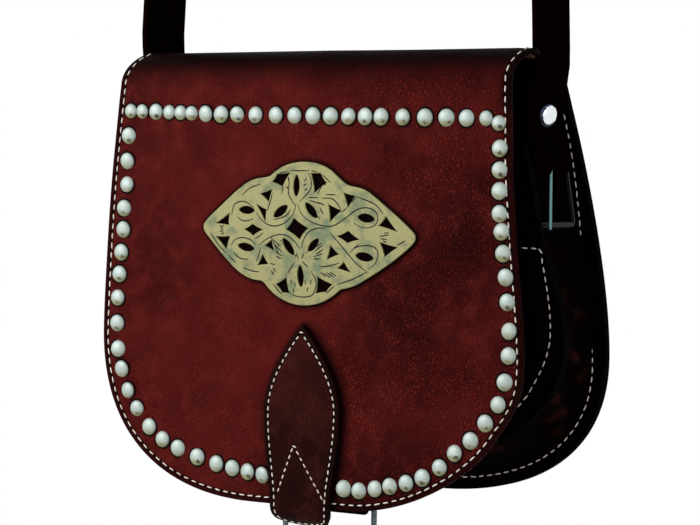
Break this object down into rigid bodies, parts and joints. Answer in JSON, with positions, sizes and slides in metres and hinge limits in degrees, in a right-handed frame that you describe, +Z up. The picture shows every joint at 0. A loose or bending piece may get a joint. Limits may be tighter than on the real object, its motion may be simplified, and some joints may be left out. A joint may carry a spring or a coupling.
{
  "type": "leather shoulder bag",
  "caption": "Saddle-shaped leather shoulder bag with a studded flap, pierced brass plate, leaf-shaped tab, front pocket and a long flat strap.",
  "frame": {"origin": "the point on the inside of the strap's crown where the bag hangs on a hook, above the middle of the bag's depth", "axes": "+Z up, the flap faces -Y, the strap's buckle is on the +X side"},
  "size_m": [0.274, 0.0927, 0.767],
  "materials": {
    "oxblood_leather": "waxed full-grain leather, semi-gloss",
    "dark_oxblood_leather": "waxed full-grain leather, darker",
    "suede_side_of_leather": "split leather, matt",
    "brass": "aged brass with dull recesses",
    "nickel": "nickel plate, polished",
    "steel": "bright steel wire",
    "blackened_steel": "dark steel wire"
  },
  "bodies": {
    "bag": {"back_panel": "dark_oxblood_leather", "front_panel": "dark_oxblood_leather", "front_pocket": "dark_oxblood_leather", "gusset": "dark_oxblood_leather", "shoulder_strap": "dark_oxblood_leather", "closure_chape": "dark_oxblood_leather", "rivet_left": "nickel", "rivet_right": "nickel", "rivet_burr_left": "steel", "rivet_burr_right": "steel"},
    "flap": {"flap": "oxblood_leather", "flap_lining": "suede_side_of_leather", "closure_tab": "dark_oxblood_leather", "ornament_plate": "brass"},
    "closure_frame": {"closure_buckle_frame": "blackened_steel"},
    "closure_prong": {"closure_buckle_prong": "steel"},
    "strap_frame": {"strap_buckle_frame": "blackened_steel"},
    "strap_prong": {"strap_buckle_prong": "steel"}
  },
  "joints": [
    {"name": "flap_hinge", "type": "hinge", "parent": "bag", "child": "flap", "pos_m": [0, -0.024, -0.489], "axis": [-1, 0, 0], "range_deg": [0, 120]},
    {"name": "closure_frame_swing", "type": "hinge", "parent": "bag", "child": "closure_frame", "pos_m": [0.0015, -0.0159, -0.731], "axis": [1, 0, 0], "range_deg": [0, 60]},
    {"name": "closure_prong_lift", "type": "hinge", "parent": "closure_frame", "child": "closure_prong", "pos_m": [0.0015, -0.0159, -0.731], "axis": [-1, 0, 0], "range_deg": [0, 50]},
    {"name": "strap_frame_swing", "type": "hinge", "parent": "bag", "child": "strap_frame", "pos_m": [0.1184, 0.0014, -0.5486], "axis": [0, -1, 0], "range_deg": [0, 75]},
    {"name": "strap_prong_lift", "type": "hinge", "parent": "strap_frame", "child": "strap_prong", "pos_m": [0.1184, 0.0014, -0.5486], "axis": [0, -1, 0], "range_deg": [0, 50]}
  ]
}
